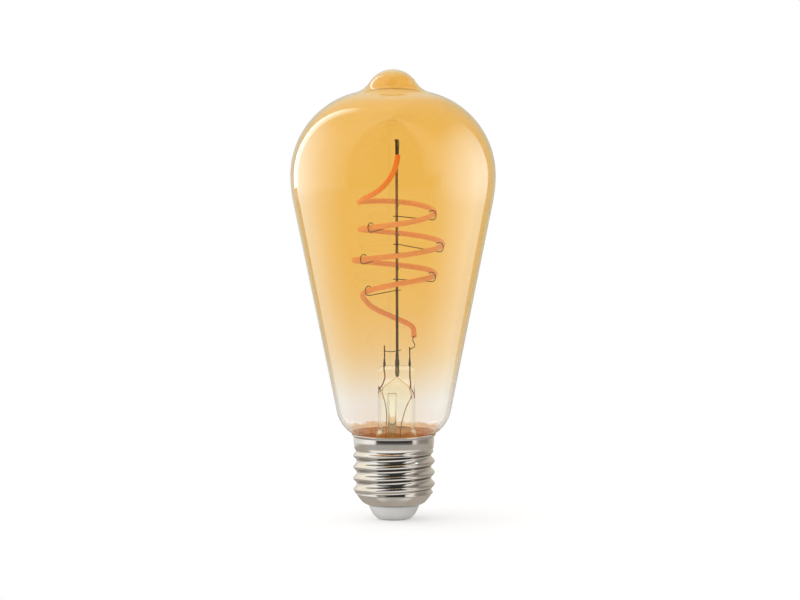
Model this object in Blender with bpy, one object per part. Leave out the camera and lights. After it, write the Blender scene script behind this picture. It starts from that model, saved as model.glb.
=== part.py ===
"""Smart filament light bulb with an E27 screw cap.

Units are metres. +Z runs up the lamp's axis, and the origin is the centre of the contact's
flat bottom face. -Y is the front. The stem, the mast and all that they carry stand a little
to the +X side of the lamp's axis, as hand-sealed stems do.
"""

import math

import bmesh
import bpy
from mathutils import Matrix, Vector

# Driving dimensions of the glass
LAMP_LENGTH = 0.143
GLASS_RADIUS = 0.0325
GLASS_WALL = 0.0008
WIDEST_HEIGHT = 0.1095
TIP_RADIUS = 0.0086
TIP_FILLET = 0.0075
SHOULDER_RADIUS = 0.0269
SIDE_RADIUS = 0.0435
CONE_ANGLE = math.radians(11.5)
CONE_FOOT_HEIGHT = 0.0345
FOOT_RADIUS = 0.0110
NECK_RADIUS = 0.0110
NECK_BOTTOM = 0.0230

# Driving dimensions of the E27 cap
CAP_PITCH = 0.003629
CAP_CREST_RADIUS = 0.01303
CAP_ROOT_RADIUS = 0.01190
CAP_CREST_SHARPNESS = 1.2
CAP_SHEET = 0.0004
COLLAR_RADIUS = 0.0128
RIM_RADIUS = 0.0134
RIM_TOP = 0.0270
THREAD_TOP = 0.0224
THREAD_BOTTOM = 0.0083
CREST_HEIGHT = 0.0204
SHELL_HOLE_RADIUS = 0.0083
CONTACT_RADIUS = 0.0045
CONTACT_SHANK_RADIUS = 0.0009
CONTACT_SHANK_TOP = 0.0076

# Clearance between pieces that touch on the real lamp
GAP = 0.0003
WIRE_GAP = 0.00015

# Stem and mast
STEM_X = 0.0009
STEM_RADIUS = 0.00595
STEM_WALL = 0.0010
PINCH_TOP = 0.0489
PINCH_BOTTOM = 0.0410
PINCH_HALF_DEPTH = 0.0020
EXHAUST_X = STEM_X - 0.0014
MAST_X = 0.00115
MAST_RADIUS = 0.00037
MAST_TOP = 0.1208
MAST_BOTTOM = 0.0455
LEAD_RADIUS = 0.0002
LEAD_LEFT_X = -0.0029
LEAD_RIGHT_X = 0.0051
LEAD_LEFT_TOP = 0.0554
LEAD_RIGHT_TOP = 0.0549

# Filament and its hooks
FILAMENT_RADIUS = 0.0008
HOOK_WIRE_RADIUS = 0.00013
HOOK_HALF_WIDTH = 0.00130
HOOK_HALF_HEIGHT = 0.00150
HOOK_STUB = 0.0011

# Boards and the sleeve round them, inside the cap
LINER_RADIUS = 0.0112
LINER_WALL = 0.0004
LINER_BOTTOM = 0.0086
LINER_TOP = 0.0218
BOARD_HALF_WIDTH = 0.0102
BOARD_THICKNESS = 0.0010
BOARD_BOTTOM = 0.0088
BOARD_TOP = 0.0214

ROUND_STEPS = 32

# The filament's centreline round the mast: turn angle in degrees from +X, radius, height
FILAMENT_STATIONS = [
    (285, 0.0016, 0.1159),
    (262, 0.0024, 0.1124),
    (243, 0.0048, 0.1087),
    (230, 0.0086, 0.1052),
    (206, 0.0113, 0.1024),
    (180, 0.0119, 0.1009),
    (90, 0.0122, 0.1002),
    (0, 0.0119, 0.0977),
    (-90, 0.0120, 0.0948),
    (-180, 0.0116, 0.0924),
    (-270, 0.0128, 0.0902),
    (-360, 0.0145, 0.0877),
    (-450, 0.0139, 0.0850),
    (-540, 0.0135, 0.0825),
    (-630, 0.0128, 0.0800),
    (-720, 0.0121, 0.0781),
    (-810, 0.0119, 0.0759),
    (-900, 0.0109, 0.0711),
    (-945, 0.0102, 0.0666),
    (-990, 0.0090, 0.0631),
    (-1035, 0.0071, 0.0605),
    (-1050, 0.0062, 0.0579),
]

# Hooks: name, turn angle where it holds the filament, height of its weld on the mast
HOOKS = [
    ("back_1", 90, 0.0999),
    ("right_1", -20, 0.0965),
    ("left_1", -134, 0.0938),
    ("back_2", -270, 0.0905),
    ("right_2", -382, 0.0876),
    ("left_2", -500, 0.0848),
    ("back_3", -630, 0.0798),
    ("right_3", -744, 0.0765),
    ("left_3", -862, 0.0730),
]


# ---------------------------------------------------------------- helpers


def clear_scene():
    for item in list(bpy.data.objects):
        bpy.data.objects.remove(item, do_unlink=True)


def finish(name, colour, roughness, metallic=0.0, transmission=0.0):
    """A Principled material in one plain colour."""
    made = bpy.data.materials.new(name)
    made.use_nodes = True
    shader = made.node_tree.nodes["Principled BSDF"]
    shader.inputs["Base Color"].default_value = (*colour, 1.0)
    shader.inputs["Roughness"].default_value = roughness
    shader.inputs["Metallic"].default_value = metallic
    shader.inputs["Transmission Weight"].default_value = transmission
    made.diffuse_color = (*colour, 1.0)
    return made


def add_mesh(name, bm, material, smooth_angle=35):
    """Turns a bmesh into a named object with outward faces."""
    bmesh.ops.recalc_face_normals(bm, faces=bm.faces)
    mesh = bpy.data.meshes.new(name)
    bm.to_mesh(mesh)
    bm.free()
    mesh.materials.append(material)
    mesh.shade_smooth()
    mesh.set_sharp_from_angle(angle=math.radians(smooth_angle))
    made = bpy.data.objects.new(name, mesh)
    bpy.context.scene.collection.objects.link(made)
    return made


def arc(centre, radius, start, end, steps):
    """Points of an arc in the (radius, height) plane, angles in degrees from +radius."""
    points = []
    for i in range(steps + 1):
        angle = math.radians(start + (end - start) * i / steps)
        points.append((centre[0] + radius * math.cos(angle), centre[1] + radius * math.sin(angle)))
    return points


def turned(name, outline, material, steps=ROUND_STEPS, axis_x=0.0):
    """Spins a closed (radius, height) outline round the vertical axis at axis_x."""
    bm = bmesh.new()
    ring = [bm.verts.new((radius, 0.0, height)) for radius, height in outline]
    edges = [bm.edges.new((ring[i - 1], ring[i])) for i in range(len(ring))]
    bmesh.ops.spin(
        bm,
        geom=ring + edges,
        cent=(0, 0, 0),
        axis=(0, 0, 1),
        angle=math.tau,
        steps=steps,
        use_merge=True,
    )
    bmesh.ops.remove_doubles(bm, verts=bm.verts, dist=1e-7)
    flat = [edge for edge in bm.edges if not edge.link_faces]
    bmesh.ops.delete(bm, geom=flat, context="EDGES")
    bmesh.ops.translate(bm, verts=bm.verts, vec=(axis_x, 0, 0))
    return add_mesh(name, bm, material)


def bridge_rings(bm, rings):
    """Walls between neighbouring rings of the same count."""
    for low, high in zip(rings, rings[1:]):
        count = len(low)
        for i in range(count):
            j = (i + 1) % count
            bm.faces.new((low[i], low[j], high[j], high[i]))


def wire(name, points, radius, material, roundness=1):
    """A round wire along points, with closed ends."""
    curve = bpy.data.curves.new(name, "CURVE")
    curve.dimensions = "3D"
    curve.bevel_depth = radius
    curve.bevel_resolution = roundness
    curve.use_fill_caps = True
    spline = curve.splines.new("POLY")
    spline.points.add(len(points) - 1)
    for point, place in zip(spline.points, points):
        point.co = (*place, 1.0)
    curve.materials.append(material)
    made = bpy.data.objects.new(name, curve)
    bpy.context.scene.collection.objects.link(made)
    return made


def smooth_path(points, per_span):
    """Points on a smooth curve through the given ones, whatever their number of parts."""
    path = []
    for i in range(len(points) - 1):
        before = points[max(i - 1, 0)]
        after = points[min(i + 2, len(points) - 1)]
        for step in range(per_span):
            t = step / per_span
            path.append(tuple(spline_value(before[k], points[i][k], points[i + 1][k], after[k], t)
                              for k in range(len(points[i]))))
    path.append(tuple(points[-1]))
    return path


def spline_value(a, b, c, d, t):
    """Catmull-Rom value between b and c."""
    return 0.5 * (
        2 * b
        + (c - a) * t
        + (2 * a - 5 * b + 4 * c - d) * t**2
        + (3 * b - a - 3 * c + d) * t**3
    )


def block(name, low, high, material, chamfer=0.00012):
    """A box between two corners, with its edges slightly chamfered."""
    size = Vector(high) - Vector(low)
    centre = (Vector(high) + Vector(low)) / 2
    bm = bmesh.new()
    bmesh.ops.create_cube(bm, size=1.0)
    bmesh.ops.scale(bm, vec=size, verts=bm.verts)
    bmesh.ops.translate(bm, vec=centre, verts=bm.verts)
    bmesh.ops.bevel(bm, geom=bm.edges[:], offset=chamfer, segments=1, affect="EDGES")
    return add_mesh(name, bm, material)


def cylinder(name, centre, radius, length, axis, material, steps=20):
    """A plain cylinder with chamfered ends, along axis X, Y or Z."""
    bm = bmesh.new()
    bmesh.ops.create_cone(
        bm,
        cap_ends=True,
        segments=steps,
        radius1=radius,
        radius2=radius,
        depth=length,
    )
    rims = [edge for edge in bm.edges if abs(edge.verts[0].co.z - edge.verts[1].co.z) < 1e-9]
    bmesh.ops.bevel(bm, geom=rims, offset=radius * 0.12, segments=1, affect="EDGES")
    turn = Vector((0, 0, 1)).rotation_difference(Vector(axis)).to_matrix().to_4x4()
    bmesh.ops.transform(bm, matrix=Matrix.Translation(centre) @ turn, verts=bm.verts)
    return add_mesh(name, bm, material)


def cut_holes(target, holes):
    """Cuts vertical round holes, each (x, y, radius, bottom, top), out of target."""
    for number, (x, y, radius, bottom, top) in enumerate(holes, 1):
        bm = bmesh.new()
        bmesh.ops.create_cone(
            bm,
            cap_ends=True,
            segments=12,
            radius1=radius,
            radius2=radius,
            depth=top - bottom,
        )
        bmesh.ops.translate(bm, vec=(x, y, (top + bottom) / 2), verts=bm.verts)
        cutter = add_mesh(f"{target.name}_cutter_{number}", bm, target.data.materials[0])
        cutter.hide_render = True
        cutter.display_type = "WIRE"
        boolean = target.modifiers.new(f"hole_{number}", "BOOLEAN")
        boolean.operation = "DIFFERENCE"
        boolean.object = cutter


# ---------------------------------------------------------------- glass


def between_circles(first, first_radius, second, second_radius, fillet):
    """Centre of a circle that touches two circles from outside, on the +radius side."""
    a = Vector(first)
    b = Vector(second)
    reach_a = first_radius + fillet
    reach_b = second_radius + fillet
    apart = (b - a).length
    along = (reach_a**2 - reach_b**2 + apart**2) / (2 * apart)
    aside = math.sqrt(reach_a**2 - along**2)
    way = (b - a) / apart
    return a + way * along + Vector((-way.y, way.x)) * aside


def angle_to(centre, point):
    return math.degrees(math.atan2(point[1] - centre[1], point[0] - centre[0]))


def glass_outline():
    """Outer outline of the glass, from the tip down to the sealed neck."""
    tip = (0.0, LAMP_LENGTH - TIP_RADIUS)
    shoulder = (GLASS_RADIUS - SHOULDER_RADIUS, WIDEST_HEIGHT)
    valley = between_circles(tip, TIP_RADIUS, shoulder, SHOULDER_RADIUS, TIP_FILLET)
    side = (GLASS_RADIUS - SIDE_RADIUS, WIDEST_HEIGHT)
    slope = math.degrees(CONE_ANGLE)
    cone_top = arc(side, SIDE_RADIUS, -slope, -slope, 1)[0]
    foot_edge = cone_top[0] - (cone_top[1] - CONE_FOOT_HEIGHT) * math.tan(CONE_ANGLE)
    foot = (
        foot_edge - FOOT_RADIUS * math.cos(CONE_ANGLE),
        CONE_FOOT_HEIGHT + FOOT_RADIUS * math.sin(CONE_ANGLE),
    )
    tip_end = angle_to(tip, valley)
    shoulder_start = angle_to(shoulder, valley)
    outline = arc(tip, TIP_RADIUS, 90, tip_end, 6)
    outline += arc(valley, TIP_FILLET, 180 + tip_end, 180 + shoulder_start, 3)[1:]
    outline += arc(shoulder, SHOULDER_RADIUS, shoulder_start, 0, 9)[1:]
    outline += arc(side, SIDE_RADIUS, 0, -slope, 2)[1:]
    outline += arc(foot, FOOT_RADIUS, -slope, -62, 5)
    outline += [(NECK_RADIUS + 0.0003, 0.0262), (NECK_RADIUS, 0.0254), (NECK_RADIUS, NECK_BOTTOM)]
    return outline


def inset(outline, distance):
    """The same open outline moved inwards, towards the axis, by distance."""
    moved = []
    for i, (radius, height) in enumerate(outline):
        before = Vector(outline[max(i - 1, 0)])
        after = Vector(outline[min(i + 1, len(outline) - 1)])
        way = (after - before).normalized()
        moved.append((max(radius + way.y * distance, 0.0), height - way.x * distance))
    moved[0] = (0.0, outline[0][1] - distance)
    moved[-1] = (outline[-1][0] - distance, outline[-1][1])
    return moved


def make_envelope(glass):
    outer = glass_outline()
    inner = inset(outer, GLASS_WALL)
    return turned("glass_envelope", outer + inner[::-1], glass)


def section(bm, height, half_width, half_depth, squareness, count=24):
    """One ring of the stem: a circle at squareness 2, nearer a rectangle above that."""
    ring = []
    for i in range(count):
        angle = math.tau * (i + 0.5) / count
        c = math.cos(angle)
        s = math.sin(angle)
        x = half_width * math.copysign(abs(c) ** (2 / squareness), c)
        y = half_depth * math.copysign(abs(s) ** (2 / squareness), s)
        ring.append(bm.verts.new((STEM_X + x, y, height)))
    return ring


def make_stem(glass):
    """The flared stem tube, pressed flat at its top round the leads and the mast."""
    bore = STEM_RADIUS - STEM_WALL
    outside = [
        (0.0234, 0.0089, 0.0089, 2),
        (0.0243, 0.0080, 0.0080, 2),
        (0.0262, 0.0068, 0.0068, 2),
        (0.0295, STEM_RADIUS, STEM_RADIUS, 2),
        (0.0385, STEM_RADIUS, STEM_RADIUS, 2),
        (0.0405, 0.0059, 0.0042, 2.2),
        (0.0430, 0.00585, 0.0025, 3),
        (0.0450, 0.00585, PINCH_HALF_DEPTH, 4),
        (0.0478, 0.00585, PINCH_HALF_DEPTH, 4),
        (PINCH_TOP, 0.0053, 0.0015, 3),
    ]
    inside = [
        (0.0234, 0.0081, 0.0081, 2),
        (0.0247, 0.0069, 0.0069, 2),
        (0.0266, 0.0057, 0.0057, 2),
        (0.0295, bore, bore, 2),
        (0.0380, bore, bore, 2),
        (0.0400, 0.0046, 0.0028, 2.2),
        (PINCH_BOTTOM, 0.0032, 0.0012, 2.2),
    ]
    bm = bmesh.new()
    outer = [section(bm, *ring) for ring in outside]
    inner = [section(bm, *ring) for ring in inside]
    bridge_rings(bm, outer)
    bridge_rings(bm, inner)
    bridge_rings(bm, [outer[0], inner[0]])
    bm.faces.new(outer[-1])
    bm.faces.new(inner[-1])
    stem = add_mesh("stem_glass", bm, glass)
    above = PINCH_TOP + 0.002
    lead_hole = LEAD_RADIUS + GAP
    cut_holes(
        stem,
        [
            (LEAD_LEFT_X, 0.0, lead_hole, PINCH_BOTTOM - 0.003, above),
            (LEAD_RIGHT_X, 0.0, lead_hole, PINCH_BOTTOM - 0.003, above),
            (MAST_X, 0.0, MAST_RADIUS + GAP, MAST_BOTTOM - GAP, above),
        ],
    )
    return stem


def make_exhaust_tube(glass):
    """The sealed-off pumping tube inside the stem, open at its top end."""
    radius = 0.00145
    wall = 0.0005
    bottom = 0.0250
    top = PINCH_BOTTOM - 0.0012
    outline = [(radius - wall, top), (radius, top)]
    outline += arc((0.0, bottom + radius), radius, 0, -90, 4)
    outline += [(0.0, bottom + 2 * wall)]
    outline += arc((0.0, bottom + radius + wall), radius - wall, -60, 0, 3)
    return turned("exhaust_tube", outline, glass, steps=16, axis_x=EXHAUST_X)


# ---------------------------------------------------------------- stem metalwork


def make_mast(metal, dark):
    """The central wire, with a flattened T head, and the dark bead at its root."""
    head = 0.0006
    half_head = 0.0007
    outline = [
        (0.0, MAST_TOP),
        (half_head, MAST_TOP),
        (half_head, MAST_TOP - 0.0002),
        (MAST_RADIUS, MAST_TOP - head),
        (MAST_RADIUS, MAST_BOTTOM),
        (0.0, MAST_BOTTOM),
    ]
    turned("support_mast", outline, metal, steps=10, axis_x=MAST_X)
    inner = MAST_RADIUS + WIRE_GAP
    bottom = PINCH_TOP + WIRE_GAP
    outline = [
        (inner, bottom),
        (0.00075, bottom),
        (0.00070, bottom + 0.0016),
        (inner + 0.0001, bottom + 0.0034),
        (inner, bottom + 0.0034),
    ]
    turned("mast_root_bead", outline, dark, steps=12, axis_x=MAST_X)


def make_leads(nickel, dark, dumet, copper):
    """Each lead has a nickel wire, a bead, a seal wire in the glass and a copper tail."""
    seal_top = PINCH_TOP - 0.0030
    seal_bottom = PINCH_BOTTOM - 0.0004
    tails = {
        "left": [
            (LEAD_LEFT_X, 0.0, seal_bottom - GAP),
            (-0.0027, 0.0, 0.0375),
            (-0.0024, 0.0, 0.0345),
            (-0.0024, 0.0, 0.0300),
            (-0.0026, -0.0008, 0.0265),
            (-0.0028, -0.0012, 0.0222),
            (-0.0028, -0.0012, 0.0205),
        ],
        "right": [
            (LEAD_RIGHT_X, 0.0, seal_bottom - GAP),
            (0.0048, 0.0, 0.0385),
            (0.0036, 0.0, 0.0347),
            (0.0024, 0.0, 0.0298),
            (0.0021, 0.0008, 0.0265),
            (0.0021, 0.0012, 0.0222),
            (0.0021, 0.0012, 0.0205),
        ],
    }
    for side, x, top in (
        ("left", LEAD_LEFT_X, LEAD_LEFT_TOP),
        ("right", LEAD_RIGHT_X, LEAD_RIGHT_TOP),
    ):
        wire(f"lead_inner_{side}", [(x, 0, top), (x, 0, seal_top + GAP)], LEAD_RADIUS, nickel)
        wire(f"lead_seal_{side}", [(x, 0, seal_top), (x, 0, seal_bottom)], LEAD_RADIUS, dumet)
        wire(f"lead_outer_{side}", smooth_path(tails[side], 3), LEAD_RADIUS, copper)
        inner = LEAD_RADIUS + WIRE_GAP
        bottom = PINCH_TOP + WIRE_GAP
        outline = [
            (inner, bottom),
            (0.00048, bottom),
            (0.00048, bottom + 0.0015),
            (inner + 0.00004, bottom + 0.0021),
            (inner, bottom + 0.0021),
        ]
        turned(f"lead_bead_{side}", outline, dark, steps=10, axis_x=x)


def make_mast_jumper(nickel):
    """Joins the left lead to the mast, which feeds the filament's top end."""
    height = 0.0536
    aside = -(MAST_RADIUS + HOOK_WIRE_RADIUS + WIRE_GAP)
    wire(
        "mast_jumper_wire",
        [
            (LEAD_LEFT_X + LEAD_RADIUS + HOOK_WIRE_RADIUS, aside, height),
            (-0.0004, aside * 1.3, height - 0.0001),
            (MAST_X, aside, height + 0.0002),
            (MAST_X + 0.0012, aside, height + 0.0004),
        ],
        HOOK_WIRE_RADIUS,
        nickel,
    )


# ---------------------------------------------------------------- filament


def filament_place(station):
    """Cartesian point of a (turn angle, radius, height) station round the mast."""
    angle, radius, height = station
    turn = math.radians(angle)
    return Vector((MAST_X + radius * math.cos(turn), radius * math.sin(turn), height))


def filament_stations():
    return smooth_path(FILAMENT_STATIONS, 4)


def station_at(angle):
    """The filament's station at a turn angle, read between its smooth stations."""
    path = filament_stations()
    for high, low in zip(path, path[1:]):
        if high[0] >= angle >= low[0]:
            share = (high[0] - angle) / (high[0] - low[0])
            return tuple(a + (b - a) * share for a, b in zip(high, low))
    raise ValueError("the angle is past the filament's ends")


def make_filament(phosphor, nickel):
    """The coated LED strip and the metal terminals at its two ends."""
    path = [filament_place(station) for station in filament_stations()]
    wire("filament_cord", path, FILAMENT_RADIUS, phosphor, roundness=2)
    top = path[0]
    wire(
        "filament_top_terminal",
        smooth_path(
            [
                (top.x, top.y, top.z + GAP),
                (MAST_X + 0.0006, -0.0007, 0.1172),
                (MAST_X + 0.00062, 0.0, 0.1184),
                (MAST_X + 0.0009, 0.0, 0.1196),
                (MAST_X + 0.00095, 0.0, 0.1204),
            ],
            2,
        ),
        HOOK_WIRE_RADIUS,
        nickel,
    )
    end = path[-1]
    wire(
        "filament_bottom_terminal",
        [
            (end.x, end.y, end.z - GAP - 0.0002),
            (end.x - 0.0004, end.y - 0.0004, 0.0569),
            (end.x + 0.0001, end.y - 0.0010, 0.0558),
            (end.x + 0.0002, end.y - 0.0016, 0.0550),
            (LEAD_RIGHT_X + 0.0005, 0.0, 0.0544),
        ],
        HOOK_WIRE_RADIUS,
        nickel,
    )


def make_hook(name, angle, weld_height, nickel):
    """One support wire: a stub past the mast, an arm out to the filament, and a C loop round it."""
    station = station_at(angle)
    turn = math.radians(angle)
    out = Vector((math.cos(turn), math.sin(turn), 0))
    up = Vector((0, 0, 1))
    centre = filament_place(station)
    aside = Vector((out.y, -out.x, 0)) * (MAST_RADIUS + HOOK_WIRE_RADIUS + WIRE_GAP)
    mast = Vector((MAST_X, 0, 0))
    if name.startswith("left"):
        aside = -aside
    points = [
        mast + aside - out * HOOK_STUB + up * weld_height,
        mast + aside + out * 0.0006 + up * weld_height,
    ]
    for degrees in range(-100, 141, 30):
        bend = math.radians(degrees)
        points.append(
            centre
            + out * (HOOK_HALF_WIDTH * math.cos(bend))
            + up * (HOOK_HALF_HEIGHT * math.sin(bend))
        )
    wire(f"filament_hook_{name}", points, HOOK_WIRE_RADIUS, nickel)


# ---------------------------------------------------------------- cap


def thread_radius(height, turn):
    """Outer radius of the rolled right-hand thread, which fades out at both its ends."""
    fade = 0.0012
    top = min(max((THREAD_TOP - height) / fade, 0.0), 1.0)
    bottom = min(max((height - THREAD_BOTTOM) / fade, 0.0), 1.0)
    share = min(top, bottom)
    wave = 0.5 + 0.5 * math.cos(math.tau * (height - CREST_HEIGHT) / CAP_PITCH - turn + math.pi)
    crest = wave**CAP_CREST_SHARPNESS
    return CAP_ROOT_RADIUS + (CAP_CREST_RADIUS - CAP_ROOT_RADIUS) * (crest * share + 0.4 * (1 - share))


def shell_ring(bm, radius_of, height, shift):
    ring = []
    for i in range(ROUND_STEPS):
        turn = math.tau * i / ROUND_STEPS
        radius = radius_of(turn) - shift
        ring.append(bm.verts.new((radius * math.cos(turn), radius * math.sin(turn), height)))
    return ring


def make_shell(nickel):
    """The thin screw shell: flared rim, plain collar, rolled thread and curved-in bottom."""
    plain = [
        (RIM_TOP, RIM_RADIUS),
        (RIM_TOP - 0.0004, RIM_RADIUS - 0.0001),
        (RIM_TOP - 0.0008, COLLAR_RADIUS),
        (THREAD_TOP + 0.0007, COLLAR_RADIUS),
    ]
    foot = [(0.0071, 0.0113), (0.0062, 0.0106), (0.0053, 0.0097), (0.0046, SHELL_HOLE_RADIUS)]
    rows = 23
    heights = [THREAD_TOP + (THREAD_BOTTOM - THREAD_TOP) * i / rows for i in range(rows + 1)]
    bm = bmesh.new()
    walls = []
    for shift in (0.0, CAP_SHEET):
        rings = [shell_ring(bm, lambda turn, r=r: r, z, shift) for z, r in plain]
        rings += [shell_ring(bm, lambda turn, z=z: thread_radius(z, turn), z, shift) for z in heights]
        for z, r in foot:
            lift = shift if z < 0.0065 else 0.0
            rings.append(shell_ring(bm, lambda turn, r=r: r, z + lift, shift - lift * 0.9))
        bridge_rings(bm, rings)
        walls.append(rings)
    outer, inner = walls
    bridge_rings(bm, [outer[0], inner[0]])
    bridge_rings(bm, [outer[-1], inner[-1]])
    return add_mesh("screw_shell", bm, nickel, smooth_angle=60)


def make_cement(cement):
    low = 0.0234
    high = 0.0258
    inner = NECK_RADIUS + GAP
    outer = COLLAR_RADIUS - CAP_SHEET - GAP
    outline = [(inner, high), (outer, high), (outer, low), (inner, low)]
    return turned("capping_cement", outline, cement)


def make_insulator(plastic):
    """The stepped white disc that carries the contact and plugs the shell's bottom."""
    recess = CONTACT_RADIUS + GAP
    bore = CONTACT_SHANK_RADIUS + GAP
    outline = [
        (bore, 0.0066),
        (0.0086, 0.0066),
        (0.0090, 0.0063),
        (0.0090, 0.0058),
        (0.0080, 0.0055),
        (0.0080, 0.0042),
        (0.0074, 0.0030),
        (0.0068, 0.0017),
        (0.0055, 0.0005),
        (0.0052, 0.0003),
        (recess, 0.0003),
        (recess, 0.0012),
        (bore, 0.0012),
    ]
    return turned("cap_insulator", outline, plastic)


def make_contact(nickel):
    """The nail-shaped centre contact, whose flat head is the lamp's lowest face."""
    outline = [
        (0.0, CONTACT_SHANK_TOP),
        (CONTACT_SHANK_RADIUS, CONTACT_SHANK_TOP),
        (CONTACT_SHANK_RADIUS, 0.0009),
        (CONTACT_RADIUS, 0.0009),
        (CONTACT_RADIUS, 0.0003),
        (CONTACT_RADIUS - 0.0003, 0.0),
        (0.0, 0.0),
    ]
    return turned("centre_contact", outline, nickel, steps=24)


# ---------------------------------------------------------------- electronics


def make_liner(film):
    inner = LINER_RADIUS - LINER_WALL
    outline = [
        (inner, LINER_TOP),
        (LINER_RADIUS, LINER_TOP),
        (LINER_RADIUS, LINER_BOTTOM),
        (inner, LINER_BOTTOM),
    ]
    return turned("board_liner", outline, film, steps=24)


def make_driver(finishes):
    """The upright driver board and the parts soldered to its two faces."""
    front = -BOARD_THICKNESS / 2 - GAP
    back = BOARD_THICKNESS / 2 + GAP
    board = finishes["board"]
    black = finishes["black"]
    half = BOARD_THICKNESS / 2
    block("driver_board", (-BOARD_HALF_WIDTH, -half, BOARD_BOTTOM), (BOARD_HALF_WIDTH, half, BOARD_TOP), board)
    cylinder("bulk_capacitor", (-0.0054, front - 0.0032, 0.0148), 0.0031, 0.0095, (0, 0, 1), finishes["can"])
    cylinder("filter_inductor", (0.0048, front - 0.0026, 0.0172), 0.0025, 0.0060, (0, 0, 1), black)
    block("bridge_rectifier", (0.0022, front - 0.0016, 0.0094), (0.0070, front, 0.0134), black)
    block("driver_chip", (-0.0078, back, 0.0150), (-0.0028, back + 0.0015, 0.0190), black)
    block("sense_resistor", (-0.0014, back, 0.0172), (0.0006, back + 0.0006, 0.0184), black)
    block("ceramic_capacitor", (-0.0012, front - 0.0014, 0.0180), (0.0014, front, 0.0196), finishes["ceramic"])
    cylinder("fusible_resistor", (-0.0036, back + 0.0014, 0.0112), 0.0013, 0.0064, (1, 0, 0), finishes["ceramic"])


def make_radio(finishes):
    """The upright wireless board behind the driver board, with its can, crystal and aerial."""
    left = 0.0050
    right = 0.0058
    near = BOARD_THICKNESS / 2 + GAP
    far = 0.0080
    low = 0.0112
    high = 0.0208
    block("radio_board", (left, near, low), (right, far, high), finishes["board"])
    can_left = left - GAP - 0.0017
    block("radio_shield_can", (can_left, near + 0.0008, 0.0140), (left - GAP, 0.0072, 0.0202), finishes["can"])
    block("radio_crystal", (left - GAP - 0.0006, 0.0030, 0.0118), (left - GAP, 0.0055, 0.0132), finishes["can"])
    aerial_x = right + GAP + 0.00015
    points = []
    for row in range(5):
        height = 0.0128 + row * 0.0017
        ends = (0.0020, 0.0070) if row % 2 == 0 else (0.0070, 0.0020)
        points += [(aerial_x, y, height) for y in ends]
    wire("radio_antenna", points, 0.00015, finishes["copper"], roundness=0)


def make_cap_wires(finishes):
    """The live wire up from the contact and the neutral wire out to the shell."""
    live = [
        (0.0, 0.0, CONTACT_SHANK_TOP + GAP + 0.0001),
        (-0.0006, 0.0016, 0.0081),
        (0.0006, 0.0024, 0.0092),
        (0.0012, 0.0022, 0.0108),
        (0.0004, 0.0022, 0.0112),
    ]
    wire("live_wire", smooth_path(live, 3), 0.0003, finishes["copper"])
    neutral = [
        (-0.0080, -0.0011, 0.0202),
        (-0.0083, -0.0014, 0.0216),
        (-0.0094, -0.0014, 0.0225),
        (-0.0110, -0.0014, 0.0226),
        (-0.0116, -0.0014, 0.0225),
    ]
    wire("neutral_wire", smooth_path(neutral, 3), 0.0003, finishes["neutral"])


# ---------------------------------------------------------------- assembly


def make_finishes():
    return {
        "amber": finish("amber_glass", (0.85, 0.50, 0.12), 0.03, transmission=1.0),
        "clear": finish("clear_glass", (0.95, 0.96, 0.90), 0.03, transmission=1.0),
        "nickel": finish("nickel_plate", (0.78, 0.75, 0.70), 0.18, metallic=1.0),
        "wire": finish("support_wire", (0.30, 0.22, 0.16), 0.35, metallic=1.0),
        "dark": finish("seal_bead", (0.05, 0.045, 0.04), 0.45),
        "dumet": finish("seal_wire", (0.55, 0.12, 0.08), 0.35, metallic=1.0),
        "copper": finish("copper_wire", (0.72, 0.42, 0.26), 0.30, metallic=1.0),
        "phosphor": finish("phosphor_coat", (0.85, 0.26, 0.05), 0.55),
        "cement": finish("capping_cement", (0.42, 0.22, 0.09), 0.85),
        "white": finish("white_plastic", (0.80, 0.79, 0.76), 0.40),
        "film": finish("liner_film", (0.70, 0.62, 0.45), 0.45),
        "board": finish("board_laminate", (0.08, 0.22, 0.10), 0.50),
        "black": finish("moulded_black", (0.02, 0.02, 0.02), 0.45),
        "can": finish("bare_can", (0.72, 0.73, 0.74), 0.30, metallic=1.0),
        "ceramic": finish("component_ceramic", (0.55, 0.40, 0.26), 0.50),
        "neutral": finish("neutral_sleeve", (0.10, 0.22, 0.55), 0.45),
    }


def main():
    clear_scene()
    finishes = make_finishes()
    make_envelope(finishes["amber"])
    make_stem(finishes["clear"])
    make_exhaust_tube(finishes["clear"])
    make_mast(finishes["wire"], finishes["dark"])
    make_leads(finishes["wire"], finishes["dark"], finishes["dumet"], finishes["copper"])
    make_mast_jumper(finishes["wire"])
    make_filament(finishes["phosphor"], finishes["wire"])
    for name, angle, weld_height in HOOKS:
        make_hook(name, angle, weld_height, finishes["wire"])
    make_shell(finishes["nickel"])
    make_cement(finishes["cement"])
    make_insulator(finishes["white"])
    make_contact(finishes["nickel"])
    make_liner(finishes["film"])
    make_driver(finishes)
    make_radio(finishes)
    make_cap_wires(finishes)


main()
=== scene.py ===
"""Smart filament light bulb: the looks of its glass, stem, filament, screw cap and boards.

Units are metres, +Z up the lamp's axis, -Y the front. Every piece rides on the one body.
"""
import math

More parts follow.
